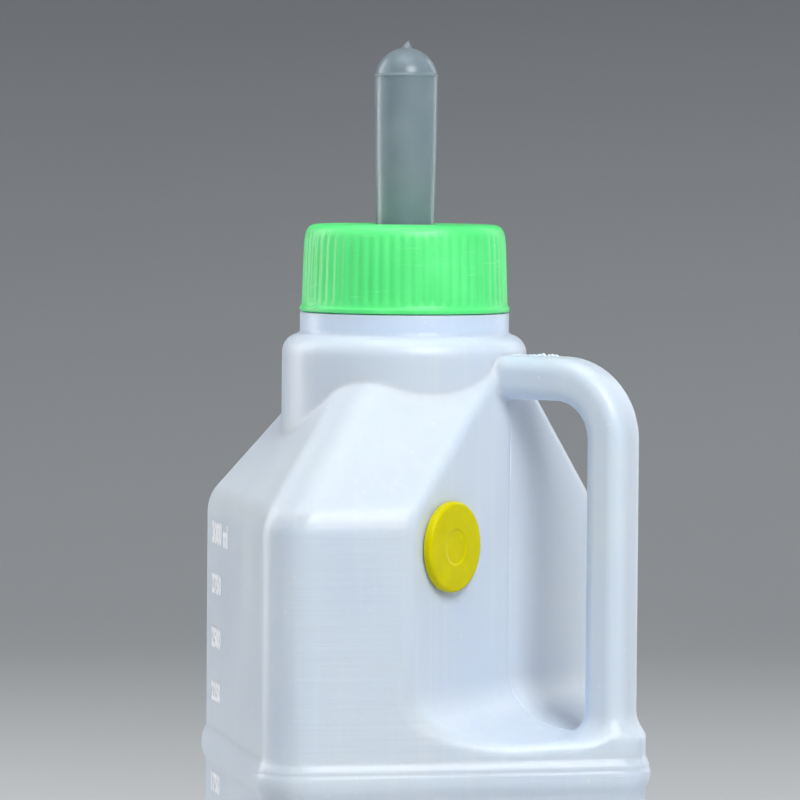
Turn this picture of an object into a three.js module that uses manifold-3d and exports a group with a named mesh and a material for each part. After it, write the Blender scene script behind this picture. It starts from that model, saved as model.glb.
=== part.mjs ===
// Calf feeding bottle, 3 litres: a square blow-moulded bottle with a hollow corner handle, a screw cap that clamps
// a soft teat, a ball check valve in the teat's base and a push-in air vent in the wall behind the handle.
// Millimetres, +Z up. The origin is the middle of the square body on the surface that it stands on, the body's
// faces look along X and Y, and the handle stands at the +X -Y corner.
import * as THREE from "three";
import { mergeVertices } from "three/addons/utils/BufferGeometryUtils.js";
import Module from "manifold-3d";

const wasm = await Module();
wasm.setup();

// Driving dimensions of the body
const HALF = 64.5; // half of the square body's side
const CORNER_R = 15; // radius of its upright corners
const WALL = 1.5; // blow-moulded wall
const SHOULDER_Z = 202; // where the upright sides end
const SHOULDER_TAN = 1.36; // rise over run of the four sloping shoulder faces
const SHOULDER_TOP_Z = 250;
const SHOULDER_TOP_CORNER_R = 13;
const BASE_EDGE_R = 9; // rounding under the sides
const PUSH_UP = 4; // hollow under the base, inside the standing ring
const BEAD_Z = 116.7; // stiffening bead around the body
const BEAD_HEIGHT = 11.6;
const BEAD_PROUD = 1.7;

// The neck stands off the body's middle, away from the handle
const NECK_OFFSET = 5.3;
const COLLAR_R = 41.4;
const COLLAR_EDGE_R = 6.5;
const COLLAR_TOP_Z = 260;
const SHOULDER_RING_R = 35.4; // plain ring that shows below the cap
const SHOULDER_RING_TOP_Z = 267.2;
const FINISH_R = 30; // the threaded neck's wall
const MOUTH_R = 27.6;

// Finger recess across the handle's corner, and the handle
const RECESS_RHO = 42.5; // from the neck's axis to the recess wall, along the diagonal
const RECESS_FLOOR_Z = 129.5;
const RECESS_FILLET = [25, 18]; // outward and upward
const WALL_DRAFT = 0.035; // how much the wall falls back per millimetre away from the diagonal
const FLOOR_DRAFT = 0.05; // and how much the floor falls
const HANDLE_RHO = 82.1;
const HANDLE_TOP_Z = 246.6;
const HANDLE_BEND_R = 20;
const HANDLE_HALF = [7.25, 8.2]; // in the diagonal plane, and across it
const HANDLE_EDGE_R = 5.2;
const HANDLE_WALL = 1.8;

// Screw thread: one start, 6 mm pitch
const PITCH = 6;
const THREAD_DEPTH = 1.6;
const THREAD_BASE = 2.6; // height at the root
const THREAD_CREST = 1.4;
const THREAD_SINK = 0.5; // how far the ridge is let into its wall
const THREAD_TURNS = 1.25;
const THREAD_Z = 272.9; // where the neck's ridge starts

// Cap
const CAP_BOTTOM_Z = 267.5;
const CAP_TOP_Z = 297;
const CAP_R = [34.8, 34.1]; // over the ribs, at the skirt's foot and at the shoulder
const CAP_BEAD_R = 35.5;
const CAP_BORE_R = 32.4;
const CAP_LID = 2.5;
const CAP_HOLE_R = 11.6;
const CAP_RIBS = 60;
const CAP_RIB_DEPTH = 0.45;

// Teat
const TEAT_R = 10.75;
const TEAT_NECK_R = 10;
const TEAT_WALL = 2.2;
const TEAT_TIP_Z = 356.5;
const TEAT_FLANGE_R = 29.6;
const TEAT_FLANGE = 3;
const GAP = 0.3; // between pieces that touch
const RIM_Z = CAP_TOP_Z - CAP_LID - TEAT_FLANGE - 2 * GAP; // the teat's flange is clamped on the neck's rim

// Air vent, in the recess wall between the handle and the -Y face
const VENT_ACROSS = -37.2; // from the diagonal, along the recess wall
const VENT_Z = 192;
const VENT_HOLE_R = 9.5;
const VENT_FLANGE_R = 15;

const ROUND = 48; // segments around the neck
const SMALL_ROUND = 32; // segments around the small parts
const DIAGONAL = Math.SQRT1_2;
const neck = new THREE.Vector2(-NECK_OFFSET, NECK_OFFSET);

// ---- Helpers ---------------------------------------------------------------------------------------------

// A manifold-3d solid from a closed geometry, with its faces turned outwards.
function solid(geometry) {
  const bare = new THREE.BufferGeometry();
  bare.setAttribute("position", geometry.getAttribute("position"));
  bare.setIndex(geometry.getIndex());
  const merged = mergeVertices(bare, 1e-4);
  const indices = new Uint32Array(merged.getIndex().array);
  const make = () =>
    new wasm.Manifold(
      new wasm.Mesh({ numProp: 3, vertProperties: merged.getAttribute("position").array, triVerts: indices }),
    );
  let made = make();
  if (made.volume() < 0) {
    for (let i = 0; i < indices.length; i += 3) {
      [indices[i + 1], indices[i + 2]] = [indices[i + 2], indices[i + 1]];
    }
    made = make();
  }
  return made;
}

function geometryOf(manifold) {
  const mesh = manifold.getMesh();
  const geometry = new THREE.BufferGeometry();
  geometry.setAttribute("position", new THREE.BufferAttribute(new Float32Array(mesh.vertProperties), 3));
  geometry.setIndex(new THREE.BufferAttribute(new Uint32Array(mesh.triVerts), 1));
  geometry.computeVertexNormals();
  return geometry;
}

// A solid through rings of points, all rings with the same count. The ends are closed from the ring's flat outline.
function loft(rings, outline) {
  const count = rings[0].length;
  const positions = rings.flat().flatMap((p) => [p.x, p.y, p.z]);
  const indices = [];
  for (let k = 0; k + 1 < rings.length; k++) {
    for (let i = 0; i < count; i++) {
      const a = k * count + i;
      const b = k * count + ((i + 1) % count);
      indices.push(a, b, b + count, a, b + count, a + count);
    }
  }
  const last = (rings.length - 1) * count;
  for (const [a, b, c] of THREE.ShapeUtils.triangulateShape(outline, [])) {
    indices.push(c, b, a, last + a, last + b, last + c);
  }
  const geometry = new THREE.BufferGeometry();
  geometry.setAttribute("position", new THREE.Float32BufferAttribute(positions, 3));
  geometry.setIndex(indices);
  return solid(geometry);
}

// A solid of revolution about a Z axis through the origin, from [radius, z] pairs.
function turned(profile, segments = ROUND) {
  const points = profile.map(([r, z]) => new THREE.Vector2(r, z));
  return solid(new THREE.LatheGeometry(points, segments).rotateX(Math.PI / 2));
}

// The same, from a closed [radius, z] outline that doesn't touch the axis.
function turnedRing(profile, segments = SMALL_ROUND) {
  return turned([...profile, profile[0]], segments);
}

// Points of an arc in [radius, z], angles in degrees.
function arc([r, z], radius, from, to, steps = 6) {
  return Array.from({ length: steps + 1 }, (_, i) => {
    const a = THREE.MathUtils.degToRad(from + ((to - from) * i) / steps);
    return [r + radius * Math.cos(a), z + radius * Math.sin(a)];
  });
}

// Outline of a rectangle with round corners, counterclockwise, as 2-D points about its middle.
function roundedOutline(halfX, halfY, radius, stepsPerCorner = 5) {
  const corners = [
    [halfX - radius, halfY - radius, 0],
    [radius - halfX, halfY - radius, 90],
    [radius - halfX, radius - halfY, 180],
    [halfX - radius, radius - halfY, 270],
  ];
  return corners.flatMap(([x, y, from]) =>
    arc([x, y], radius, from, from + 90, stepsPerCorner).map(([px, py]) => new THREE.Vector2(px, py)),
  );
}

// A point by its distance from the neck's axis along the diagonal (rho), across it, and its height.
function onDiagonal(rho, across, z) {
  return new THREE.Vector3(
    neck.x + (rho + across) * DIAGONAL,
    neck.y + (across - rho) * DIAGONAL,
    z,
  );
}

function atNeck(manifold) {
  return manifold.translate([neck.x, neck.y, 0]);
}

// A helical ridge with a four-sided section on a round wall. Side 1 puts it outside the wall, side -1 inside.
function threadRidge(wallR, side, startZ) {
  const stepsPerTurn = 40;
  const steps = THREAD_TURNS * stepsPerTurn;
  const runOut = 4; // steps over which the ridge rises at each end
  const lowest = 0.12; // share of the depth that it keeps there
  const section = [
    [-THREAD_SINK, -THREAD_BASE / 2],
    [THREAD_DEPTH, -THREAD_CREST / 2],
    [THREAD_DEPTH, THREAD_CREST / 2],
    [-THREAD_SINK, THREAD_BASE / 2],
  ];
  const rings = [];
  for (let k = 0; k <= steps; k++) {
    const angle = (2 * Math.PI * k) / stepsPerTurn;
    const z = startZ + (PITCH * k) / stepsPerTurn;
    const rise = Math.max(lowest, Math.min(1, k / runOut, (steps - k) / runOut));
    rings.push(
      section.map(([out, up]) => {
        const r = wallR + side * (out > 0 ? out * rise : out);
        return new THREE.Vector3(r * Math.cos(angle), r * Math.sin(angle), z + up);
      }),
    );
  }
  return loft(rings, section.map(([x, y]) => new THREE.Vector2(x, y)));
}

// ---- Bottle ----------------------------------------------------------------------------------------------

// The square body and its pyramid shoulder, drawn in by an inset for the inside.
function bodyBlock(inset) {
  const rings = [];
  const ring = (half, radius, z) => {
    const outline = roundedOutline(half - inset, half - inset, radius - inset);
    rings.push(outline.map((p) => new THREE.Vector3(p.x, p.y, z)));
  };
  const floorZ = inset > 0 ? PUSH_UP + inset : 0;
  for (const [dr, dz] of arc([-BASE_EDGE_R, BASE_EDGE_R], BASE_EDGE_R, -90, 0, 4)) {
    ring(HALF + dr, CORNER_R + dr / 2, floorZ + dz);
  }
  const steps = 6;
  for (let i = 0; i <= steps; i++) {
    const proud = BEAD_PROUD * Math.sin((Math.PI * i) / steps) ** 2;
    ring(HALF + proud, CORNER_R + proud, BEAD_Z + BEAD_HEIGHT * (i / steps - 0.5));
  }
  const lowered = inset * (Math.hypot(1, SHOULDER_TAN) - SHOULDER_TAN); // keeps the sloping wall's thickness
  ring(HALF, CORNER_R, SHOULDER_Z - 2.5 - lowered);
  ring(HALF - 0.7, CORNER_R, SHOULDER_Z - lowered);
  for (const [z, radius] of [[SHOULDER_Z + 3, CORNER_R], [SHOULDER_TOP_Z, SHOULDER_TOP_CORNER_R]]) {
    ring(HALF - (z - SHOULDER_Z) / SHOULDER_TAN, radius, z - lowered);
  }
  return loft(rings, roundedOutline(10, 10, 5));
}

// Collar, shoulder ring and threaded neck, as the outer form.
function neckForm() {
  const collarFoot = SHOULDER_Z - 20;
  return atNeck(
    turned([
      [0, collarFoot],
      [COLLAR_R, collarFoot],
      ...arc([COLLAR_R - COLLAR_EDGE_R, COLLAR_TOP_Z - COLLAR_EDGE_R], COLLAR_EDGE_R, 0, 90, 5),
      [SHOULDER_RING_R, COLLAR_TOP_Z],
      [SHOULDER_RING_R, SHOULDER_RING_TOP_Z],
      [FINISH_R, SHOULDER_RING_TOP_Z],
      [FINISH_R, RIM_Z],
      [0, RIM_Z],
    ]).add(threadRidge(FINISH_R, 1, THREAD_Z)),
  );
}

function neckHollow() {
  const collarFoot = SHOULDER_Z - 20 + WALL;
  const inner = COLLAR_R - WALL;
  return atNeck(
    turned([
      [0, collarFoot],
      [inner, collarFoot],
      ...arc([inner - COLLAR_EDGE_R, COLLAR_TOP_Z - WALL - COLLAR_EDGE_R], COLLAR_EDGE_R, 0, 90, 4),
      [SHOULDER_RING_R - 2.4, COLLAR_TOP_Z - WALL],
      [SHOULDER_RING_R - 2.4, COLLAR_TOP_Z + 1.5],
      [MOUTH_R, SHOULDER_RING_TOP_Z - 1.5],
      [MOUTH_R, RIM_Z + 5],
      [0, RIM_Z + 5],
    ]),
  );
}

// The space cut out of the corner for the fingers: everything outside the recess wall and above its floor.
function recessCut(grow) {
  const reach = 130; // past the body on every side
  const topZ = RIM_Z + 20;
  const wallRho = RECESS_RHO - grow;
  const floorZ = RECESS_FLOOR_Z - grow;
  const [out, up] = RECESS_FILLET;
  const outline = [new THREE.Vector2(wallRho, topZ)];
  for (let i = 0; i <= 8; i++) {
    const a = (Math.PI * i) / 16;
    outline.push(new THREE.Vector2(wallRho + out * (1 - Math.cos(a)), floorZ + up * (1 - Math.sin(a))));
  }
  outline.push(new THREE.Vector2(wallRho + reach, floorZ), new THREE.Vector2(wallRho + reach, topZ));
  const rings = [-reach, 0, reach].map((across) => {
    const away = Math.abs(across);
    return outline.map((p) => onDiagonal(p.x - away * WALL_DRAFT, across, p.y - away * FLOOR_DRAFT));
  });
  return loft(rings, outline);
}

// The handle's tube in the diagonal plane: out of the collar, round one bend and down into the ledge.
function handleTube(inset, startRho, endZ) {
  const bendRho = HANDLE_RHO - HANDLE_BEND_R;
  const bendZ = HANDLE_TOP_Z - HANDLE_BEND_R;
  const [halfIn, halfAcross] = HANDLE_HALF;
  const section = roundedOutline(halfIn - inset, halfAcross - inset, HANDLE_EDGE_R - inset, 3);
  const stations = [{ rho: startRho, z: HANDLE_TOP_Z, angle: 90 }];
  for (const angle of [90, 78, 66, 54, 42, 30, 18, 9, 0]) {
    const a = THREE.MathUtils.degToRad(angle);
    stations.push({ rho: bendRho + HANDLE_BEND_R * Math.cos(a), z: bendZ + HANDLE_BEND_R * Math.sin(a), angle });
  }
  stations.push({ rho: HANDLE_RHO, z: endZ, angle: 0 });
  const rings = stations.map(({ rho, z, angle }) => {
    const a = THREE.MathUtils.degToRad(angle);
    return section.map((p) => onDiagonal(rho + p.x * Math.cos(a), p.y, z + p.x * Math.sin(a)));
  });
  return loft(rings, section);
}

// A short cylinder through the recess wall at the vent, of a given radius.
function ventHole(radius) {
  const geometry = new THREE.CylinderGeometry(radius, radius, 24, SMALL_ROUND);
  geometry.rotateZ(Math.PI / 2).applyMatrix4(ventPlace());
  return solid(geometry);
}

// From a frame whose +X points out of the recess wall, with its origin on the wall, to the bottle's frame.
function ventPlace() {
  const turn = Math.atan2(-1, 1) - Math.atan(WALL_DRAFT);
  const wallRho = RECESS_RHO - Math.abs(VENT_ACROSS) * WALL_DRAFT;
  const place = new THREE.Matrix4().makeRotationZ(turn);
  return place.setPosition(onDiagonal(wallRho, VENT_ACROSS, VENT_Z));
}

function bottleBody() {
  const standingRing = roundedOutline(HALF - 14, HALF - 14, 8);
  const pushUp = loft(
    [-1, PUSH_UP].map((z) => standingRing.map((p) => new THREE.Vector3(p.x, p.y, z))),
    standingRing,
  );
  const outside = bodyBlock(0)
    .add(neckForm())
    .subtract(recessCut(0))
    .add(handleTube(0, COLLAR_R - 6, RECESS_FLOOR_Z - 8))
    .subtract(pushUp);
  const inside = bodyBlock(WALL)
    .subtract(recessCut(WALL))
    .add(neckHollow().subtract(recessCut(WALL)))
    .add(handleTube(HANDLE_WALL, COLLAR_R - 12, RECESS_FLOOR_Z - 14));
  return outside.subtract(inside).subtract(ventHole(VENT_HOLE_R));
}

// ---- Cap and teat ----------------------------------------------------------------------------------------

function screwCap() {
  const points = CAP_RIBS * 2;
  const levels = [
    [CAP_BEAD_R, CAP_BOTTOM_Z, 0],
    [CAP_BEAD_R, CAP_BOTTOM_Z + 2.6, 0],
    [CAP_R[0], CAP_BOTTOM_Z + 3.1, CAP_RIB_DEPTH],
    [CAP_R[1], CAP_TOP_Z - 5, CAP_RIB_DEPTH],
    [CAP_R[1] - 0.7, CAP_TOP_Z - 2.2, 0],
    [CAP_R[1] - 3.2, CAP_TOP_Z, 0],
  ];
  const rings = levels.map(([r, z, rib]) =>
    Array.from({ length: points }, (_, i) => {
      const a = (2 * Math.PI * i) / points;
      const radius = i % 2 ? r - rib : r;
      return new THREE.Vector3(radius * Math.cos(a), radius * Math.sin(a), z);
    }),
  );
  const outside = loft(rings, rings[0].map((p) => new THREE.Vector2(p.x, p.y)));
  const bore = turned([
    [0, CAP_BOTTOM_Z - 1],
    [CAP_BORE_R, CAP_BOTTOM_Z - 1],
    [CAP_BORE_R, CAP_TOP_Z - CAP_LID - 4],
    [TEAT_FLANGE_R + 1, CAP_TOP_Z - CAP_LID],
    [CAP_HOLE_R, CAP_TOP_Z - CAP_LID],
    [CAP_HOLE_R, CAP_TOP_Z + 1],
    [0, CAP_TOP_Z + 1],
  ]);
  // Half a pitch above the neck's ridge, so the flanks clear each other all the way up the helix.
  const ridge = threadRidge(CAP_BORE_R, -1, THREAD_Z - PITCH / 2);
  return outside.subtract(bore).add(ridge);
}

function teat() {
  const flangeTop = CAP_TOP_Z - CAP_LID - GAP;
  const flangeFoot = flangeTop - TEAT_FLANGE;
  const bore = TEAT_R - TEAT_WALL - 0.6;
  const domeZ = TEAT_TIP_Z - TEAT_R;
  const outletR = 0.7;
  return turnedRing(
    [
      [bore, flangeFoot],
      [TEAT_FLANGE_R - 0.8, flangeFoot],
      [TEAT_FLANGE_R, flangeFoot + 0.8],
      [TEAT_FLANGE_R, flangeTop],
      [TEAT_NECK_R, flangeTop],
      [TEAT_NECK_R, CAP_TOP_Z + 4],
      [TEAT_R - 0.15, CAP_TOP_Z + 18],
      [TEAT_R, CAP_TOP_Z + 34],
      ...arc([0, domeZ], TEAT_R, 0, 80, 6),
      [1.5, TEAT_TIP_Z],
      [1.1, TEAT_TIP_Z + 1.6],
      [outletR, TEAT_TIP_Z + 2.5],
      [outletR, TEAT_TIP_Z - TEAT_WALL],
      ...arc([0, domeZ], bore, 80, 0, 5),
      [bore, CAP_TOP_Z + 18],
    ],
    36,
  );
}

// ---- Check valve in the teat's base ----------------------------------------------------------------------

const VALVE_FLANGE_TOP_Z = RIM_Z;
const VALVE_SPIGOT_R = TEAT_R - TEAT_WALL - 0.6 - GAP;
const VALVE_CHAMBER_R = 5.4;
const VALVE_BALL_R = 4;
const VALVE_SEAT_Z = 280.5;
const VALVE_BALL_Z = VALVE_SEAT_Z + 4.9;
const VALVE_CAGE_Z = 292.6;

// Cup that hangs in the neck below the teat, with the seat in its floor and a spigot up into the teat.
function valveHousing() {
  return turnedRing([
    [2.2, VALVE_SEAT_Z],
    [6.9, VALVE_SEAT_Z],
    [6.9, VALVE_FLANGE_TOP_Z - 1.6],
    [14, VALVE_FLANGE_TOP_Z - 1.6],
    [14, VALVE_FLANGE_TOP_Z],
    [VALVE_SPIGOT_R, VALVE_FLANGE_TOP_Z],
    [VALVE_SPIGOT_R, CAP_TOP_Z - 0.6],
    [VALVE_CHAMBER_R, CAP_TOP_Z - 0.6],
    [VALVE_CHAMBER_R, VALVE_SEAT_Z + 4.6],
    [2.2, VALVE_SEAT_Z + 1.2],
  ]);
}

// Disc pressed into the chamber's top, with three milk windows around a hub that stops the ball.
function valveCage() {
  const radius = VALVE_CHAMBER_R - 0.15;
  let cage = turned(
    [[0, VALVE_CAGE_Z], [radius, VALVE_CAGE_Z], [radius, VALVE_CAGE_Z + 1.6], [0, VALVE_CAGE_Z + 1.6]],
    SMALL_ROUND,
  );
  for (let i = 0; i < 3; i++) {
    const window = new THREE.CylinderGeometry(1.35, 1.35, 6, 16).rotateX(Math.PI / 2);
    const a = (2 * Math.PI * i) / 3;
    window.translate(3.3 * Math.cos(a), 3.3 * Math.sin(a), VALVE_CAGE_Z);
    cage = cage.subtract(solid(window));
  }
  return cage;
}

function valveBall() {
  return solid(new THREE.SphereGeometry(VALVE_BALL_R, 24, 14).rotateX(Math.PI / 2).translate(0, 0, VALVE_BALL_Z));
}

// ---- Air vent, in its own frame: +X out of the wall, origin on the wall's outer face ---------------------------

const VENT_STEM_R = 6.6;
const VENT_BORE_R = 5;
const VENT_LIP_R = 12.4;
const VENT_LIP = 1.5;
const VENT_FACE_X = 3.6;
const VENT_END_X = -8.5; // inner end of the stem
const VENT_SPIDER = 1.4;

// A turned part about +X, from [radius, x] pairs.
function ventTurned(profile) {
  return solid(
    new THREE.LatheGeometry(profile.map(([r, x]) => new THREE.Vector2(r, x)), SMALL_ROUND).rotateZ(-Math.PI / 2),
  );
}

// Soft ring buttoned into the wall's hole, with a lip on each side.
function ventGrommet() {
  const outline = [
    [VENT_STEM_R + 0.1, VENT_LIP + 0.1],
    [VENT_LIP_R, VENT_LIP],
    [VENT_LIP_R, 0.1],
    [VENT_HOLE_R - 0.1, 0.1],
    [VENT_HOLE_R - 0.1, -WALL - 0.35],
    [VENT_LIP_R - 0.6, -WALL - 0.35],
    [VENT_LIP_R - 2.2, -WALL - 2.6],
    [VENT_STEM_R + 0.1, -WALL - 2.6],
  ];
  return ventTurned([...outline, outline[0]]);
}

// Yellow mushroom: the flange with its shallow cup, and the hollow stem that ends in a spider with air holes.
function ventBody() {
  const outside = ventTurned([
    [0, VENT_END_X],
    [VENT_STEM_R, VENT_END_X],
    [VENT_STEM_R + 0.7, VENT_END_X + 1.6],
    [VENT_STEM_R, VENT_END_X + 3.6],
    [VENT_STEM_R, VENT_LIP + 0.4],
    [VENT_LIP_R + 0.5, VENT_LIP + 0.4],
    [VENT_LIP_R + 0.5, 0.4],
    [VENT_FLANGE_R - 0.4, 0.4],
    [VENT_FLANGE_R, 0.9],
    [VENT_FLANGE_R, VENT_FACE_X - 0.7],
    [VENT_FLANGE_R - 0.7, VENT_FACE_X],
    [6.4, VENT_FACE_X],
    [5.9, VENT_FACE_X - 0.9],
    [0, VENT_FACE_X - 0.9],
  ]);
  const bore = ventTurned([
    [0, VENT_END_X + VENT_SPIDER],
    [VENT_BORE_R, VENT_END_X + VENT_SPIDER],
    [VENT_BORE_R, VENT_FACE_X - 2.2],
    [0, VENT_FACE_X - 2.2],
  ]);
  let body = outside.subtract(bore);
  const drill = (radius, y, z, fromX, toX) => {
    const pin = new THREE.CylinderGeometry(radius, radius, toX - fromX, 12).rotateZ(Math.PI / 2);
    body = body.subtract(solid(pin.translate((fromX + toX) / 2, y, z)));
  };
  drill(0.8, 0, 4.1, VENT_FACE_X - 3, VENT_FACE_X + 1);
  drill(0.9, 0, 0, VENT_END_X - 1, VENT_END_X + VENT_SPIDER + 1);
  for (let i = 0; i < 4; i++) {
    const a = (Math.PI * (2 * i + 1)) / 4;
    drill(1, 3.2 * Math.cos(a), 3.2 * Math.sin(a), VENT_END_X - 1, VENT_END_X + VENT_SPIDER + 1);
  }
  return body;
}

// Silicone umbrella on the stem's inner end: a flap over the air holes and a button that holds it in the spider.
function ventFlap() {
  return ventTurned([
    [0, VENT_END_X - 1.1],
    [3, VENT_END_X - 1.1],
    [5.6, VENT_END_X - 0.7],
    [5.6, VENT_END_X - 0.2],
    [0.6, VENT_END_X - 0.2],
    [0.6, VENT_END_X + VENT_SPIDER + 1.6],
    [1.5, VENT_END_X + VENT_SPIDER + 1.6],
    [0.7, VENT_END_X + VENT_SPIDER + 3.4],
    [0, VENT_END_X + VENT_SPIDER + 3.4],
  ]);
}

// ---- Assembly --------------------------------------------------------------------------------------------

const plastic = (color, roughness, opacity = 1) =>
  new THREE.MeshStandardMaterial({ color, roughness, metalness: 0, opacity, transparent: opacity < 1 });
const milkyPlastic = plastic(0xdfe8f2, 0.38);
const greenPlastic = plastic(0x4fe874, 0.45);
const clearRubber = plastic(0x9fb4b4, 0.3, 0.7);
const whitePlastic = plastic(0xf0f0ea, 0.4);
const yellowPlastic = plastic(0xd6c900, 0.35);

function part(name, manifold, material) {
  const mesh = new THREE.Mesh(geometryOf(manifold), material);
  mesh.name = name;
  return mesh;
}

const onNeckAxis = new THREE.Group();
onNeckAxis.position.set(neck.x, neck.y, 0);
onNeckAxis.add(
  part("screw_cap", screwCap(), greenPlastic),
  part("teat", teat(), clearRubber),
  part("teat_valve_housing", valveHousing(), whitePlastic),
  part("teat_valve_cage", valveCage(), whitePlastic),
  part("teat_valve_ball", valveBall(), whitePlastic),
);

const vent = new THREE.Group();
vent.applyMatrix4(ventPlace());
vent.add(
  part("vent_grommet", ventGrommet(), clearRubber),
  part("vent_body", ventBody(), yellowPlastic),
  part("vent_flap", ventFlap(), clearRubber),
);

const calfBottle = new THREE.Group();
calfBottle.add(part("bottle_body", bottleBody(), milkyPlastic), onNeckAxis, vent);

export default calfBottle;
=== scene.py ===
"""Looks of a square calf feeding bottle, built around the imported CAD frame.

Sizes are in millimetres unless a name ends in _M. Meshes are written in metres, in the frame's own axes:
+Z up through the neck, the handle at the +X -Y corner, the printed scale on the -X face."""

import math

import bmesh
import bpy
import numpy as np
from mathutils import Matrix, Vector


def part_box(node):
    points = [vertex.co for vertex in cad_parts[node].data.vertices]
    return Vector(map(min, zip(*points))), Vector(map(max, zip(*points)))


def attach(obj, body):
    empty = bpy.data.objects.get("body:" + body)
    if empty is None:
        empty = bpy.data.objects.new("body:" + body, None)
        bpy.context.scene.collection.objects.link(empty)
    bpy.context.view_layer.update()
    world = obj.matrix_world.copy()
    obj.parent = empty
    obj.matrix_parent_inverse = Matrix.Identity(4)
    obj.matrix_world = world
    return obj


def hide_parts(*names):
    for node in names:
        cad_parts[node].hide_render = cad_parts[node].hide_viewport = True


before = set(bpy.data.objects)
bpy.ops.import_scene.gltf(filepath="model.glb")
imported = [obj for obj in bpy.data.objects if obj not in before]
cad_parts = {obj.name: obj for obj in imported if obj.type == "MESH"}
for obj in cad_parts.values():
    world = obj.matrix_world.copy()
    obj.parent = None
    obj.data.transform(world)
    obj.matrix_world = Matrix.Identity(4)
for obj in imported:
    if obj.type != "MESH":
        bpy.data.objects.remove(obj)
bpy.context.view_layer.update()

MM = 0.001
TAU = 2 * math.pi
SEED = 7

# ---- Sizes that are the same as the CAD's --------------------------------------------------------

cap_low, cap_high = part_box("screw_cap")
NECK = Vector(((cap_low.x + cap_high.x) / 2 / MM, (cap_low.y + cap_high.y) / 2 / MM))
CAP_BOTTOM_Z = cap_low.z / MM
CAP_TOP_Z = cap_high.z / MM
CAP_BEAD_R = (cap_high.x - cap_low.x) / 2 / MM

HALF = 64.5
CORNER_R = 15
WALL = 1.5
BASE_EDGE_R = 9
PUSH_UP = 4
BEAD_Z = 116.7
BEAD_HALF = 5.8

SHOULDER_Z = 202
SHOULDER_TAN = 1.36
SHOULDER_COS = SHOULDER_TAN / math.hypot(1, SHOULDER_TAN)
COLLAR_R = 41.4
COLLAR_EDGE_R = 6.5
COLLAR_TOP_Z = 260
RING_R = 35.4
RING_TOP_Z = 267.2
FINISH_R = 30
MOUTH_R = 27.6
RIM_Z = 290.9

RECESS_RHO = 42.5
RECESS_FLOOR_Z = 129.5
RECESS_FILLET = (25, 18)  # outward and upward
WALL_DRAFT = 0.035
FLOOR_DRAFT = 0.05
HANDLE_RHO = 82.1
HANDLE_TOP_Z = 246.6
HANDLE_BEND_R = 20
HANDLE_HALF = (7.25, 8.2)
HANDLE_EDGE_R = 5.2

PITCH = 6
THREAD_DEPTH = 1.6
THREAD_BASE = 2.6
THREAD_CREST = 1.4
THREAD_TURNS = 1.25
THREAD_Z = 272.9

CAP_BORE_R = 32.4
CAP_LID = 2.5
CAP_HOLE_R = 11.6
CAP_RIBS = 60

TEAT_R = 10.75
TEAT_NECK_R = 10
TEAT_BORE_R = 7.95
TEAT_TIP_Z = 356.5
TEAT_FLANGE_R = 29.6
TEAT_FLANGE_FOOT_Z = 291.2
TEAT_FLANGE_TOP_Z = 294.2

VENT_ACROSS = -37.2
VENT_Z = 192
VENT_FLANGE_R = 15
VENT_FACE_X = 3.6
VENT_END_X = -8.5

# ---- Details that are only in this model ------------------------------------------------------------

HANDLE_CORNER_R = 12  # the corner under the handle
CORNER_TAPER = 2.5  # how much the corners tighten up to the shoulder's top
SHOULDER_CREASE = 3.2  # rounding where the shoulder meets the sides
STANDING_RING = 50.5  # half of the square inside the ring that the bottle stands on
BEAD_PROUD = 1.65
BEAD_GROOVE_Z = 118.9  # fine line that the mould left along the bead
CAP_FLUTE_DEPTH = 0.3375  # a little shallower than the CAD's 0.45
TEAT_SEAM_Z = 347.2  # the mould's line around the teat, under its dome
CUP_DEPTH = 0.35  # of the shallow cup in the vent disc's face
PINHOLE_UP = 4.1  # from the disc's middle to its small air hole

GRID_OUTSIDE = 1.5  # mesh cell on the bottle's outside
GRID_INSIDE = 2.7


# ---- Distance functions of the bottle's form, all in numpy arrays of millimetres -----------------


def positive(value):
    return np.maximum(value, 0)


def smooth_step(value):
    t = np.clip(value, 0, 1)
    return t * t * (3 - 2 * t)


def round_max(a, b, radius):
    """What is inside both forms, with the edge between them rounded."""
    return np.minimum(-radius, np.maximum(a, b)) + np.hypot(positive(a + radius), positive(b + radius))


def round_min(a, b, radius):
    """What is inside either form, with the corner between them filled."""
    return np.maximum(radius, np.minimum(a, b)) - np.hypot(positive(radius - a), positive(radius - b))


def rounded_box(u, v, half_u, half_v, radius):
    out_u = np.abs(u) - (half_u - radius)
    out_v = np.abs(v) - (half_v - radius)
    return np.hypot(positive(out_u), positive(out_v)) + np.minimum(np.maximum(out_u, out_v), 0) - radius


def diagonal(x, y):
    """Distance from the neck's axis towards the handle, and across that."""
    dx, dy = x - NECK.x, y - NECK.y
    return (dx - dy) / math.sqrt(2), (dx + dy) / math.sqrt(2)


def from_diagonal(rho, across, z):
    root = math.sqrt(2)
    return np.stack([NECK.x + (rho + across) / root, NECK.y + (across - rho) / root, z + 0 * rho], -1)


def corner_radius(x, y, z):
    under_handle = (x > 0) & (y < 0)
    taper = CORNER_TAPER * np.clip((z - SHOULDER_Z) / (COLLAR_TOP_Z - SHOULDER_Z), 0, 1)
    return np.where(under_handle, HANDLE_CORNER_R, CORNER_R) - taper


def column(x, y, z):
    """The upright square body with its stiffening bead."""
    arc_r = (BEAD_HALF**2 + BEAD_PROUD**2) / (2 * BEAD_PROUD)
    rise = np.sqrt(positive(arc_r**2 - (z - BEAD_Z) ** 2)) - (arc_r - BEAD_PROUD)
    softness = 0.25
    bead = 0.5 * (rise + np.hypot(rise, softness))
    groove_depth, groove_width = 0.3, 0.55
    near_front = smooth_step((-y - 40) / 12)
    groove = groove_depth * np.exp(-(((z - BEAD_GROOVE_Z) / groove_width) ** 2)) * near_front
    return rounded_box(x, y, HALF, HALF, corner_radius(x, y, z)) - np.minimum(bead, BEAD_PROUD) + groove


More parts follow.
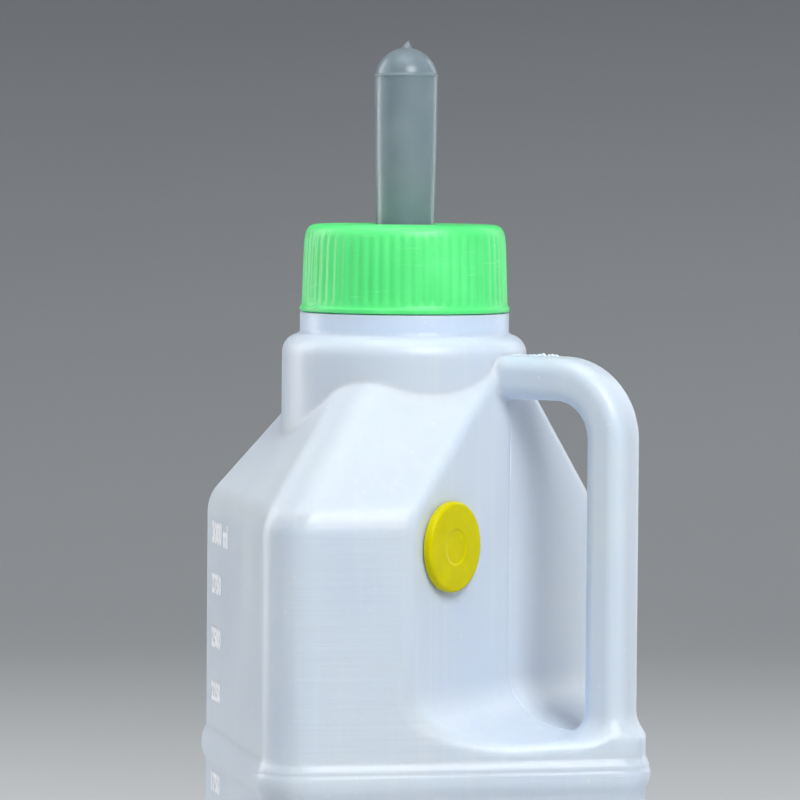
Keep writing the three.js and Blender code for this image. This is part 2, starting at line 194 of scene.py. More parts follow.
def square_body(x, y, z):
    """The column under its four sloping shoulder faces, on a pushed-up base, with slightly uneven walls."""
    half = HALF - (z - SHOULDER_Z) / SHOULDER_TAN
    slopes = rounded_box(x, y, half, half, corner_radius(x, y, z)) * SHOULDER_COS
    body = round_max(column(x, y, z), slopes, SHOULDER_CREASE)
    inward = -rounded_box(x, y, STANDING_RING, STANDING_RING, 8)
    base = PUSH_UP * smooth_step(inward / 7) - z
    wobble = 0.1 * np.sin(x / 19 + 1) * np.sin(y / 23 + 2) * np.sin(z / 27)
    return round_max(body, base, BASE_EDGE_R) + wobble * smooth_step((z - 4) / 12)


def recess(x, y, z):
    """The room for the fingers, behind the handle."""
    rho, across = diagonal(x, y)
    beyond_wall = rho + WALL_DRAFT * np.abs(across) - RECESS_RHO
    above_floor = z + FLOOR_DRAFT * np.abs(across) - RECESS_FLOOR_Z
    out, up = RECESS_FILLET
    u, v = positive(1 - beyond_wall / out), positive(1 - above_floor / up)
    share = np.hypot(u, v)
    fillet = (share - 1) * share / np.maximum(np.hypot(u / out, v / up), 1e-9)
    return np.where((u > 0) & (v > 0), fillet, np.maximum(-beyond_wall, -above_floor))


def handle(x, y, z):
    rho, across = diagonal(x, y)
    right = rho - (HANDLE_RHO - HANDLE_BEND_R)
    up = z - (HANDLE_TOP_Z - HANDLE_BEND_R)
    offset = np.hypot(positive(right), positive(up)) + np.minimum(np.maximum(right, up), 0) - HANDLE_BEND_R
    tube = rounded_box(offset, across, *HANDLE_HALF, HANDLE_EDGE_R)
    into_collar, into_body = 5.4, 5  # how far the tube's two ends are let in
    return np.maximum(tube, np.maximum(COLLAR_R - into_collar - rho, RECESS_FLOOR_Z - into_body - z))


def bottle_form(x, y, z):
    """The bottle below its threaded neck, as a solid."""
    edge = 1.8 + 1.4 * smooth_step((158 - z) / 16)  # rounding of the recess's edges, softer low down
    body = round_max(square_body(x, y, z), -recess(x, y, z), edge)
    root = 1.9 + 6.1 * smooth_step((190 - z) / 30)  # filling where the handle leaves the body
    tube = handle(x, y, z)
    body = np.maximum(round_min(body, tube, root), column(x, y, z))
    tube_above_sides = np.maximum(tube, SHOULDER_Z - z)
    body = np.minimum(body, tube_above_sides)
    r = np.hypot(x - NECK.x, y - NECK.y)
    collar = np.maximum(round_max(r - COLLAR_R, z - COLLAR_TOP_Z, COLLAR_EDGE_R), SHOULDER_Z - 12 - z)
    return round_min(body, collar, 0.7)


def outside_form(x, y, z):
    r = np.hypot(x - NECK.x, y - NECK.y)
    ring = np.maximum(r - RING_R, COLLAR_TOP_Z - 8 - z)
    return round_min(bottle_form(x, y, z), ring, 0.7)


def inside_form(x, y, z):
    """The space for the milk, as a solid."""
    r = np.hypot(x - NECK.x, y - NECK.y)
    widening = 5.4 * smooth_step((RING_TOP_Z - 1.5 - z) / 4)
    bore = np.maximum(r - MOUTH_R - widening, COLLAR_TOP_Z - 10 - z)
    return np.minimum(bottle_form(x, y, z) + WALL, bore)


# ---- Meshing -------------------------------------------------------------------------------------


def steps(*spans):
    """Grid lines through spans of (from, to, spacing)."""
    lines = []
    for low, high, spacing in spans:
        count = max(1, round((high - low) / spacing))
        lines.append(np.linspace(low, high, count, endpoint=False))
    lines.append(np.array([spans[-1][1]]))
    return np.concatenate(lines)


def surface_net(form, lines):
    """Vertices and quads on the surface where form is zero.

    Each grid cell that the surface passes through gets one vertex."""
    values = form(*np.meshgrid(*lines, indexing="ij", sparse=True))
    cells = np.array(values.shape) - 1
    total = np.zeros((3, cells.prod()))
    count = np.zeros(cells.prod())
    quads = []
    for axis in range(3):
        low = np.take(values, range(cells[axis]), axis)
        high = np.take(values, range(1, cells[axis] + 1), axis)
        at = np.argwhere((low < 0) != (high < 0))
        a, b = low[tuple(at.T)], high[tuple(at.T)]
        share = a / (a - b)
        point = [lines[k][at[:, k]] for k in range(3)]
        point[axis] = point[axis] + share * (lines[axis][at[:, axis] + 1] - lines[axis][at[:, axis]])
        u, v = [k for k in range(3) if k != axis]
        ring = []
        whole = np.ones(len(at), bool)
        for du, dv in ((0, 0), (-1, 0), (-1, -1), (0, -1)):
            cell = at.copy()
            cell[:, u] += du
            cell[:, v] += dv
            inside = ((cell >= 0) & (cell < cells)).all(1)
            whole &= inside
            flat = (cell[:, 0] * cells[1] + cell[:, 1]) * cells[2] + cell[:, 2]
            ring.append(flat)
            for k in range(3):
                total[k] += np.bincount(flat[inside], point[k][inside], len(count))
            count += np.bincount(flat[inside], minlength=len(count))
        ring = np.stack(ring, 1)
        flip = (a < 0) if axis != 1 else (a > 0)
        ring[~flip] = ring[~flip][:, ::-1]
        quads.append(ring[whole])
    used = count > 0
    number = np.cumsum(used) - 1
    vertices = (total[:, used] / count[used]).T
    return vertices, number[np.concatenate(quads)]


def slopes_of(form, points, reach=0.05):
    """How fast form grows along each axis."""
    gradient = np.empty_like(points)
    for k in range(3):
        ahead, behind = points.copy(), points.copy()
        ahead[:, k] += reach
        behind[:, k] -= reach
        gradient[:, k] = (form(*ahead.T) - form(*behind.T)) / (2 * reach)
    return gradient


def onto_surface(form, points, rounds=4, furthest=0.8):
    """Move points to where form is zero, by at most furthest in each round."""
    for _ in range(rounds):
        gradient = slopes_of(form, points)
        size = np.maximum((gradient**2).sum(1), 0.05)
        move = -(form(*points.T) / size)[:, None] * gradient
        length = np.linalg.norm(move, axis=1, keepdims=True)
        points = points + move * np.minimum(1, furthest / np.maximum(length, 1e-9))
    return points


def new_object(name, vertices, faces, smooth=True):
    mesh = bpy.data.meshes.new(name)
    mesh.from_pydata((np.asarray(vertices, float) * MM).tolist(), [], faces)
    if smooth:
        mesh.shade_smooth()
    obj = bpy.data.objects.new(name, mesh)
    bpy.context.scene.collection.objects.link(obj)
    return obj


def ring_faces(rows, around, closed_rows=False):
    """Quads of a lattice that goes round and round, as rows of vertices."""
    row = np.arange(rows if closed_rows else rows - 1)[:, None] * around
    i = np.arange(around)[None, :]
    j = (i + 1) % around
    above = (row + around) % (rows * around)
    return np.stack([row + i, row + j, above + j, above + i], -1).reshape(-1, 4)


def end_faces(rows, around):
    """The two faces that close a lattice's first and last row."""
    first = list(range(around))
    return [first[::-1], [(rows - 1) * around + i for i in first]]


def turned(profile, around):
    """Lattices of angle, radius and height from (radius, height) pairs that go round an axis."""
    angle = np.arange(around) * TAU / around
    radius, height = np.array(profile, float).T[:, :, None] + 0 * angle
    return angle + 0 * radius, radius, height


def spin(profile, around, shape, closed=True):
    """Rows turned about the neck's axis. shape(radius, angle, z) gives the radius at each place."""
    angle, radius, z = turned(profile, around)
    radius = shape(radius, angle, z)
    points = np.stack([NECK.x + radius * np.cos(angle), NECK.y + radius * np.sin(angle), z], -1)
    return points.reshape(-1, 3), ring_faces(len(profile), around, closed)


def arc(centre, radius, start, end, count=8):
    turns = np.radians(np.linspace(start, end, count))
    return [(centre[0] + radius * math.cos(a), centre[1] + radius * math.sin(a)) for a in turns]


def rows_between(start, end, spacing):
    """Evenly spaced profile points from start up to, not with, end."""
    start, end = np.array(start, float), np.array(end, float)
    count = max(1, round(float(np.linalg.norm(end - start)) / spacing))
    return [tuple(start + (end - start) * i / count) for i in range(count)]


def thread_rise(angle, z, start_z):
    """How far the helical ridge stands off its wall at a place on it."""
    rise = np.zeros_like(z)
    for lap in range(2):
        turn = (angle % TAU) / TAU + lap
        off = np.abs(z - start_z - PITCH * turn)
        flank = np.clip((THREAD_BASE / 2 - off) / ((THREAD_BASE - THREAD_CREST) / 2), 0, 1)
        ends = np.clip(np.minimum(turn, THREAD_TURNS - turn) * 10, 0, 1)
        rise = np.maximum(rise, THREAD_DEPTH * flank * ends)
    return rise


# ---- Bottle --------------------------------------------------------------------------------------


def threaded_neck():
    outer_foot, bore_foot = 264.4, 269.6  # just above the open rims of the two nets
    profile = [
        (RING_R, outer_foot),
        (RING_R, RING_TOP_Z - 0.6),
        *arc((RING_R - 0.5, RING_TOP_Z - 0.5), 0.5, 15, 90, 4),
        (FINISH_R + 0.8, RING_TOP_Z),
        (FINISH_R + 0.2, RING_TOP_Z + 0.2),
        *rows_between((FINISH_R, RING_TOP_Z + 0.8), (FINISH_R, RIM_Z - 1), 0.55),
        *arc((FINISH_R - 0.8, RIM_Z - 0.8), 0.8, 0, 90, 5),
        *arc((MOUTH_R + 0.6, RIM_Z - 0.6), 0.6, 90, 180, 4),
        *rows_between((MOUTH_R, RIM_Z - 3), (MOUTH_R, bore_foot + 0.4), 4),
        (MOUTH_R, bore_foot),
    ]

    def shape(radius, angle, z):
        outer = np.abs(radius - FINISH_R) < 0.01
        return radius + np.where(outer, thread_rise(angle, z, THREAD_Z), 0)

    return spin(profile, 144, shape, closed=False)


def open_loops(bm):
    """The open edges, in groups that join."""
    left = {e for e in bm.edges if e.is_boundary}
    groups = []
    while left:
        group, front = [], [left.pop()]
        while front:
            edge = front.pop()
            group.append(edge)
            for vertex in edge.verts:
                for other in vertex.link_edges:
                    if other in left:
                        left.discard(other)
                        front.append(other)
        groups.append(group)
    return groups


def loop_radius(edges):
    vertex = edges[0].verts[0].co
    return math.hypot(vertex.x / MM - NECK.x, vertex.y / MM - NECK.y)


def bottle_shell():
    """The whole moulding: the outer and the inner net, joined by the neck."""
    side = steps((-67.5, 67.5, GRID_OUTSIDE))
    heights = steps(  # tall cells where the sides are straight
        (-2, 12, 1.35),
        (12, 108, 4),
        (108, 113, 1.25),
        (113, 122, 0.6),
        (122, 154, 1.35),
        (154, 190, 3),
        (190, 264, 1.35),
    )
    outside, outside_quads = surface_net(outside_form, (side, side, heights))
    outside = onto_surface(outside_form, outside)
    wide = steps((-66.5, 66.5, GRID_INSIDE))
    inner_heights = steps((0, 14, 2), (14, 110, 5), (110, 154, 2.2), (154, 200, 4), (200, 268, 2))
    inside, inside_quads = surface_net(inside_form, (wide, wide, inner_heights))
    inside = onto_surface(inside_form, inside)
    neck, neck_quads = threaded_neck()
    vertices = np.concatenate([outside, inside, neck])
    faces = np.concatenate([
        outside_quads,
        inside_quads[:, ::-1] + len(outside),
        neck_quads + len(outside) + len(inside),
    ])
    shell = new_object("bottle_shell", vertices, faces.tolist())
    bm = bmesh.new()
    bm.from_mesh(shell.data)
    loops = open_loops(bm)
    for outer in (True, False):
        pair = [g for g in loops if (loop_radius(g) > (RING_R + MOUTH_R) / 2) == outer]
        bmesh.ops.bridge_loops(bm, edges=[e for g in pair for e in g])
    bmesh.ops.recalc_face_normals(bm, faces=bm.faces)
    for face in bm.faces:
        face.smooth = True
    bm.to_mesh(shell.data)
    bm.free()
    return shell


def section_outline(centre, inward, count):
    """Where rays in the diagonal plane first meet the bottle.

    They go from centre outwards, or inward from far outside towards it."""
    angle = np.linspace(0, TAU, count)
    direction = np.stack([np.cos(angle), np.sin(angle)], -1)
    reach = np.arange(0, 190, 0.4)
    reach = reach[::-1] if inward else reach
    rho = centre[0] + direction[:, :1] * reach
    z = centre[1] + direction[:, 1:] * reach
    place = from_diagonal(rho, 0 * rho, z)
    solid = bottle_form(place[..., 0], place[..., 1], place[..., 2]) < 0
    first = solid.argmax(1)
    hit = solid.any(1)
    points = np.stack([rho, z], -1)[np.arange(count), first]
    return points[hit]


def even_loop(points, spacing):
    """The same closed line through evenly spaced points."""
    points = np.concatenate([points, points[:1]])
    gone = np.concatenate([[0], np.cumsum(np.linalg.norm(np.diff(points, axis=0), axis=1))])
    wanted = np.arange(0, gone[-1], spacing)
    return np.stack([np.interp(wanted, gone, points[:, k]) for k in range(2)], -1)


def flash_strip(line, height, width):
    """A thin torn ridge that stands on the bottle along a line in the diagonal plane."""
    place = from_diagonal(line[:, 0], 0 * line[:, 0], line[:, 1])
    place = onto_surface(bottle_form, place)
    normal = slopes_of(bottle_form, place, 0.6)
    normal /= np.maximum(np.linalg.norm(normal, axis=1, keepdims=True), 1e-6)
    side = np.array([1, 1, 0]) / math.sqrt(2)
    profile = ((-1, -0.3), (-0.55, 0.45), (-0.2, 0.95), (0.2, 1), (0.55, 0.5), (1, -0.3), (0, -0.5))
    rows = []
    for across, up in profile:
        lift = np.where(up > 0, up * height, up * 0.5)
        rows.append(place + side * across * width / 2 + normal * lift[:, None])
    points = np.stack(rows, 1).reshape(-1, 3)
    count, ring = len(line), len(profile)
    return points, ring_faces(count, ring).tolist() + end_faces(count, ring)


def rough_heights(count, low, high, seed):
    """A smooth random height along a line, in places nearly gone."""
    rng = np.random.default_rng(seed)
    coarse = rng.random(max(4, count // 9))
    fine = rng.random(max(4, count // 2))
    along = np.linspace(0, 1, count)
    mixed = 0.65 * np.interp(along, np.linspace(0, 1, len(coarse)), coarse)
    mixed += 0.35 * np.interp(along, np.linspace(0, 1, len(fine)), fine)
    return low + (high - low) * mixed**1.5


def join_parts(name, parts, smooth=True):
    """One object from several (points, faces) pairs, with all its faces turned outwards."""
    vertices, faces, start = [], [], 0
    for points, quads in parts:
        vertices.append(points)
        faces += [[start + i for i in face] for face in quads]
        start += len(points)
    obj = new_object(name, np.concatenate(vertices), faces, smooth)
    bm = bmesh.new()
    bm.from_mesh(obj.data)
    bmesh.ops.recalc_face_normals(bm, faces=bm.faces)
    bm.to_mesh(obj.data)
    bm.free()
    return obj


def parting_flash():
    """What the mould's two halves left: one line round the bottle's section, one round the finger gap."""
    body_middle, gap_middle = (15, 140), (58, 195)  # in the diagonal plane
    round_bottle = even_loop(section_outline(body_middle, True, 900), 0.9)
    r = np.abs(round_bottle[:, 0])
    keep = (round_bottle[:, 1] > 5) & ~((r < COLLAR_R + 0.5) & (round_bottle[:, 1] > COLLAR_TOP_Z - 5))
    start = int(np.argmax(~keep))
    round_bottle, keep = np.roll(round_bottle, -start, 0), np.roll(keep, -start)
    edges = np.flatnonzero(np.diff(keep.astype(int)))
    starts, ends = edges[::2] + 1, [*(edges[1::2] + 1), len(keep)]
    parts = []
    for k, (first, end) in enumerate(zip(starts, ends)):
        line = round_bottle[first:end]
        if len(line) > 8:
            parts.append(flash_strip(line, rough_heights(len(line), 0.01, 0.12, SEED + k), 0.45))
    gap = even_loop(section_outline(gap_middle, False, 700), 0.7)
    gap = np.concatenate([gap, gap[:1]])
    parts.append(flash_strip(gap, rough_heights(len(gap), 0.02, 0.24, SEED + 9), 0.5))
    return join_parts("parting_flash", parts)


def fin_heights(count, scallops, tallest, seed):
    """A scalloped edge that grows along the fin and breaks off once near its end."""
    rng = np.random.default_rng(seed)
    along = np.linspace(0, 1, count)
    wave = np.abs(np.sin(along * math.pi * scallops)) ** 0.7
    size = np.interp(along, np.linspace(0, 1, scallops + 1), 0.6 + 0.4 * rng.random(scallops + 1))
    grow = 0.45 + 0.55 * smooth_step((along - 0.35) / 0.3)
    break_at, break_width = 0.69, 0.025
    broken = 1 - np.exp(-(((along - break_at) / break_width) ** 2))
    ends = smooth_step(along / 0.06) * smooth_step((1 - along) / 0.18)
    return tallest * (0.35 + 0.65 * wave) * size * grow * broken * ends


def handle_fins():
    """The torn flash that stands on the handle's top, and the stubs under it beside the collar."""
    top, under = HANDLE_TOP_Z + HANDLE_HALF[0], HANDLE_TOP_Z - HANDLE_HALF[0]
    upper_end, lower_end, spacing = 63, 51, 0.2
    rho = np.arange(COLLAR_R + 0.6, upper_end, spacing)
    upper = np.stack([rho, top + 0 * rho], -1)
    rho = np.arange(RECESS_RHO + 0.8, lower_end, spacing)
    lower = np.stack([rho, under + 0 * rho], -1)
    return join_parts("handle_fins", [
        flash_strip(upper, fin_heights(len(upper), 12, 1.15, SEED), 1.3),
        flash_strip(lower, fin_heights(len(lower), 5, 0.8, SEED + 1), 1.1),
    ])


# ---- Printed scale -------------------------------------------------------------------------------

SCALE_LEFT_Y = 41  # the numbers' left end on the -X face
NUMBER_HEIGHT = 6.9
NUMBER_WIDTH = 17
FULL_MARK = ("3000 ml", 190.5, 8.0, 29)  # text, height of its middle, its height and width
INK = 0.06  # how far the ink stands off the wall


def volume_marks():
    """Each volume in millilitres with the height of its number, above the stiffening bead and below it."""
    above = [(2750 - 250 * k, 172.9 - 18.5 * k) for k in range(3)]
    below = [(1750 - 250 * k, 104.4 - 15.5 * k) for k in range(6)]
    return above + below


def printed(text, left_y, middle_z, height, width):
    """Raised ink on the -X face: the text fills the given height and width."""
    curve = bpy.data.curves.new("ink", "FONT")
    curve.body = text
    curve.extrude = 0.02  # in the font's own units, and replaced by the ink's depth below
    curve.offset = 0.05  # makes the digits bold
    curve.resolution_u = 3
    temporary = bpy.data.objects.new("ink", curve)
    bpy.context.scene.collection.objects.link(temporary)
    bpy.context.view_layer.update()
    mesh = bpy.data.meshes.new_from_object(temporary.evaluated_get(bpy.context.evaluated_depsgraph_get()))
    points = np.array([v.co for v in mesh.vertices])
    faces = [list(p.vertices) for p in mesh.polygons]
    bpy.data.objects.remove(temporary)
    bpy.data.curves.remove(curve)
    bpy.data.meshes.remove(mesh)
    low, high = points.min(0), points.max(0)
    share = (points - low) / (high - low)
    y = left_y - share[:, 0] * width
    z = middle_z + (share[:, 1] - 0.5) * height
    depth = np.where(share[:, 2] > 0.5, INK, -INK)
    return np.stack([wall_x(y, z) - depth, y, z], -1), faces


def wall_x(y, z):
    """Where the -X face is at a height and place along it."""
    x = np.full_like(y, -HALF)
    for _ in range(3):
        x = x + outside_form(x, y, z)
    return x


def scale_numbers():
    text, z, height, width = FULL_MARK
    parts = [printed(text, SCALE_LEFT_Y, z, height, width)]
    for volume, z in volume_marks():
        parts.append(printed(str(volume), SCALE_LEFT_Y, z, NUMBER_HEIGHT, NUMBER_WIDTH))
    return join_parts("scale_numbers", parts, smooth=False)


# ---- Cap and teat --------------------------------------------------------------------------------


def cap_form():
    top, foot = CAP_TOP_Z, CAP_BOTTOM_Z
    lid_foot = top - CAP_LID
    profile = [
        (CAP_BORE_R + 0.5, foot),
        (CAP_BEAD_R - 0.5, foot),
        *arc((CAP_BEAD_R - 0.5, foot + 0.5), 0.5, -70, 0, 4),
        *arc((CAP_BEAD_R - 0.5, foot + 1.3), 0.5, 0, 70, 4),
        (34.95, foot + 2.1),
        *rows_between((34.85, foot + 2.8), (34.2, 290), 1.0),
        (34.12, 290.6),
        (34.02, 291.6),
        (33.86, 292.8),
        (33.6, 293.9),
        (33.2, 294.9),
        (32.6, 295.8),
        (31.8, 296.4),
        (30.8, 296.75),
        (29.4, 296.92),
        (24, top),
        (18, top),
        (CAP_HOLE_R + 1.2, top),
        *arc((CAP_HOLE_R + 0.5, top - 0.5), 0.5, 90, 180, 4),
        (CAP_HOLE_R, lid_foot + 0.3),
        (CAP_HOLE_R + 0.3, lid_foot),
        (20, lid_foot),
        (TEAT_FLANGE_R + 1, lid_foot),
        (31.6, lid_foot - 2),
        (CAP_BORE_R, lid_foot - 4),
        *rows_between((CAP_BORE_R, lid_foot - 4.5), (CAP_BORE_R, foot + 0.8), 0.5),
        (CAP_BORE_R, foot + 0.5),
    ]

    def shape(radius, angle, z):
        ribs = 0.5 - 0.5 * np.cos(angle * CAP_RIBS)
        flutes = CAP_FLUTE_DEPTH * ribs**1.4
        skirt = smooth_step((z - foot - 2.6) / 1.4) * smooth_step((294.6 - z) / 3.2)
        outer = radius > CAP_BORE_R + 1
        bore = np.abs(radius - CAP_BORE_R) < 0.01
        thread = thread_rise(angle, z, THREAD_Z - PITCH / 2)
        return radius - np.where(outer, flutes * skirt, 0) - np.where(bore, thread, 0)

    return spin(profile, CAP_RIBS * 8, shape)


def cap_tab():
    """The stub of a torn band on the cap's foot, at its left."""
    foot = CAP_BOTTOM_Z
    sections = 7
    points = []
    for k, a in enumerate(np.radians(np.linspace(196, 203, sections))):
        sunk = 0.6 * (1 - math.sin(math.pi * k / (sections - 1)) ** 0.5)
        outline = [
            (CAP_BEAD_R - 1.2, foot + 0.1),
            (CAP_BEAD_R - 0.05 - sunk, foot + 0.15),
            (CAP_BEAD_R - sunk, foot + 1.9),
            (CAP_BEAD_R - 0.9, foot + 2.9),
        ]
        points += [(NECK.x + r * math.cos(a), NECK.y + r * math.sin(a), z) for r, z in outline]
    around = len(outline)
    return np.array(points), ring_faces(sections, around).tolist() + end_faces(sections, around)


def screw_cap():
    body, quads = cap_form()
    return join_parts("cap_shell", [(body, quads.tolist()), cap_tab()])


def teat_skin():
    dome_z = TEAT_TIP_Z - TEAT_R
    top, foot = TEAT_FLANGE_TOP_Z, TEAT_FLANGE_FOOT_Z
    outer_dome = arc((0, dome_z), TEAT_R, 4, 84, 16)
    profile = [
        (TEAT_BORE_R + 0.3, foot),
        (TEAT_FLANGE_R - 0.8, foot),
        *arc((TEAT_FLANGE_R - 0.8, foot + 0.8), 0.8, -60, 0, 4),
        (TEAT_FLANGE_R, top - 0.5),
        *arc((TEAT_FLANGE_R - 0.5, top - 0.5), 0.5, 20, 90, 4),
        (20, top),
        (12.2, top),
        *arc((11.2, top + 1.2), 1.2, -90, -170, 5),
        (TEAT_NECK_R, 297),
        (TEAT_NECK_R, 300),
        (10.12, 305),
        (10.3, 309),
        (10.5, 314),
        (10.62, 319),
        (10.7, 325),
        (TEAT_R, 332),
        (TEAT_R, 338),
        (TEAT_R, 343),
        (TEAT_R, TEAT_SEAM_Z - 0.75),
        (TEAT_R, TEAT_SEAM_Z - 0.3),
        (TEAT_R + 0.3, TEAT_SEAM_Z - 0.2),
        (TEAT_R + 0.34, TEAT_SEAM_Z),
        (TEAT_R + 0.26, TEAT_SEAM_Z + 0.16),
        (TEAT_R - 0.12, TEAT_SEAM_Z + 0.26),
        *[p for p in outer_dome if p[1] > TEAT_SEAM_Z + 0.4],
        (0.6, TEAT_TIP_Z),
        (0.5, TEAT_TIP_Z - 2.2),
        *arc((0, dome_z), TEAT_BORE_R, 85, 0, 12),
        *rows_between((TEAT_BORE_R, dome_z - 3), (TEAT_BORE_R, foot + 1), 5),
        (TEAT_BORE_R, foot + 0.3),
    ]

    def shape(radius, angle, z):
        soft = 0.05 * np.sin(3 * angle + 1) + 0.04 * np.sin(2 * angle + z / 9)
        outer = (radius > TEAT_NECK_R - 1) & (radius < TEAT_R + 0.5) & (z > 300)
        return radius + np.where(outer, np.minimum(soft, 0.05) - 0.05, 0)

    return spin(profile, 96, shape)


def torn_nib():
    """The torn lip around the teat's outlet: a ragged ring that stands higher on one side."""
    rng = np.random.default_rng(SEED)
    around = 40
    angle = np.arange(around) * TAU / around
    height = 1.75 + 0.55 * np.cos(angle - 0.4) + 0.2 * np.sin(angle * 5) + 0.2 * rng.random(around)
    height = np.clip(height, 0.5, 2.45)
    profile = [  # radius, and share of the height, or millimetres below the tip
        (1.9, -0.3),
        (1.7, 0.12),
        (1.45, 0.32),
        (1.15, 0.55),
        (0.85, 0.8),
        (0.6, 1),
        (0.5, 0.97),
        (0.42, 0.6),
        (0.4, 0),
        (0.4, -0.4),
    ]
    sideways, sunk = 0.25, 0.12
    points = []
    for radius, share in profile:
        points.append(np.stack([
            NECK.x + radius * np.cos(angle) + sideways * max(share, 0),
            NECK.y + radius * np.sin(angle),
            TEAT_TIP_Z - sunk + share * np.where(share > 0, height, 1),
        ], -1))
    return np.concatenate(points), ring_faces(len(profile), around, True)


def teat():
    skin, quads = teat_skin()
    nib, nib_quads = torn_nib()
    return join_parts("teat_skin", [(skin, quads.tolist()), (nib, nib_quads.tolist())])


# ---- Air vent ------------------------------------------------------------------------------------


def vent_place():
    """The vent's own frame: its origin is on the recess wall, and its +X points out of it."""
    wall_rho = RECESS_RHO - abs(VENT_ACROSS) * WALL_DRAFT
    origin = from_diagonal(np.array(wall_rho), np.array(VENT_ACROSS), np.array(VENT_Z))
    turn = -math.pi / 4 - math.atan(WALL_DRAFT)
    return Matrix.Translation(Vector(origin.tolist())) @ Matrix.Rotation(turn, 4, "Z")


def from_vent(points):
    place = np.array(vent_place())
    return points @ place[:3, :3].T + place[:3, 3]


def vent_spin(profile, around=96, up=0):
    """A turned part from (radius, outward) pairs, about the vent's axis or up above it."""
    angle, radius, out = turned(profile, around)
    points = np.stack([out, radius * np.cos(angle), up + radius * np.sin(angle)], -1).reshape(-1, 3)
    return from_vent(points), ring_faces(len(profile), around, True).tolist()


def vent_disc():
    face = VENT_FACE_X
    rim = VENT_FLANGE_R - 1.3
    profile = [
        (0.02, face - CUP_DEPTH),
        (0.15, face - CUP_DEPTH),
        (2.5, face - CUP_DEPTH),
        (5, face - CUP_DEPTH),
        (5.45, face - CUP_DEPTH),
        (5.6, face - CUP_DEPTH + 0.05),
        (5.85, face - 0.08),
        (6.1, face),
        (6.4, face),
        (9, face),
        (13.3, face),
        *arc((rim, face - 1.3), 1.3, 90, 0, 7),
        *arc((VENT_FLANGE_R - 0.5, 0.9), 0.5, 0, -90, 4),
        (12.9, 0.4),
        (12.9, 1.9),
        (6.6, 1.9),
        (6.6, VENT_END_X + 3.6),
        (7.3, VENT_END_X + 1.6),
        (6.6, VENT_END_X),
        (5, VENT_END_X),
        (5, 1.4),
        (0.02, 1.4),
    ]
    return vent_spin(profile)


def vent_pinhole():
    """The raised lip around the small air hole above the disc's middle. The hole itself isn't cut."""
    base = VENT_FACE_X - CUP_DEPTH
    profile = [
        (1, base - 0.1),
        (0.95, base + 0.03),
        (0.82, base + 0.1),
        (0.66, base + 0.06),
        (0.6, base - 0.1),
    ]
    return vent_spin(profile, 24, PINHOLE_UP)


# ---- Materials -----------------------------------------------------------------------------------


class Surface:
    """One procedural material around a Principled shader."""

    def __init__(self, name, **values):
        self.material = bpy.data.materials.new(name)
        self.material.use_nodes = True
        self.tree = self.material.node_tree
        self.shader = self.tree.nodes["Principled BSDF"]
        for key, value in values.items():
            self.shader.inputs[key.replace("_", " ")].default_value = value
        self.place = self.node("ShaderNodeTexCoord").outputs["Object"]

    def node(self, kind, **settings):
        made = self.tree.nodes.new(kind)
        for key, value in settings.items():
            setattr(made, key, value)
        return made

    def feed(self, socket, value):
        if isinstance(value, bpy.types.NodeSocket):
            self.tree.links.new(value, socket)
        else:
            socket.default_value = value

    def noise(self, scale, stretch=(1, 1, 1), detail=3.0, distortion=0.0):
        """Noise from 0 to 1. Scale is in features per metre."""
        mapping = self.node("ShaderNodeMapping")
        self.feed(mapping.inputs["Vector"], self.place)
        mapping.inputs["Scale"].default_value = stretch
        made = self.node("ShaderNodeTexNoise")
        self.feed(made.inputs["Vector"], mapping.outputs["Vector"])
        self.feed(made.inputs["Scale"], scale)
        self.feed(made.inputs["Detail"], detail)
        self.feed(made.inputs["Distortion"], distortion)
        return made.outputs["Fac"]

    def span(self, value, low, high, to_low=0.0, to_high=1.0, kind="LINEAR"):
        made = self.node("ShaderNodeMapRange", interpolation_type=kind)
        for socket, number in zip(made.inputs, (value, low, high, to_low, to_high)):
            self.feed(socket, number)
        return made.outputs["Result"]

    def math(self, operation, a, b=0.0):
        made = self.node("ShaderNodeMath", operation=operation)
        self.feed(made.inputs[0], a)
        self.feed(made.inputs[1], b)
        return made.outputs[0]

    def mix(self, factor, a, b):
        made = self.node("ShaderNodeMix", data_type="RGBA")
        self.feed(made.inputs["Factor"], factor)
        for socket, value in zip([s for s in made.inputs if s.type == "RGBA"], (a, b)):
            self.feed(socket, (*value, 1) if isinstance(value, tuple) else value)
        return [s for s in made.outputs if s.type == "RGBA"][0]

    def split(self, vector):
        made = self.node("ShaderNodeSeparateXYZ")
        self.feed(made.inputs[0], vector)
        return made.outputs

    def bump(self, height, distance_m, strength=1.0, under=None):
        made = self.node("ShaderNodeBump")
        self.feed(made.inputs["Height"], height)
        made.inputs["Distance"].default_value = distance_m
        made.inputs["Strength"].default_value = strength
        if under:
            self.feed(made.inputs["Normal"], under)
        return made.outputs["Normal"]

    def finish(self, color=None, roughness=None, normal=None):
        for name, value in (("Base Color", color), ("Roughness", roughness), ("Normal", normal)):
            if value is not None:
                self.feed(self.shader.inputs[name], value)
        return self.material


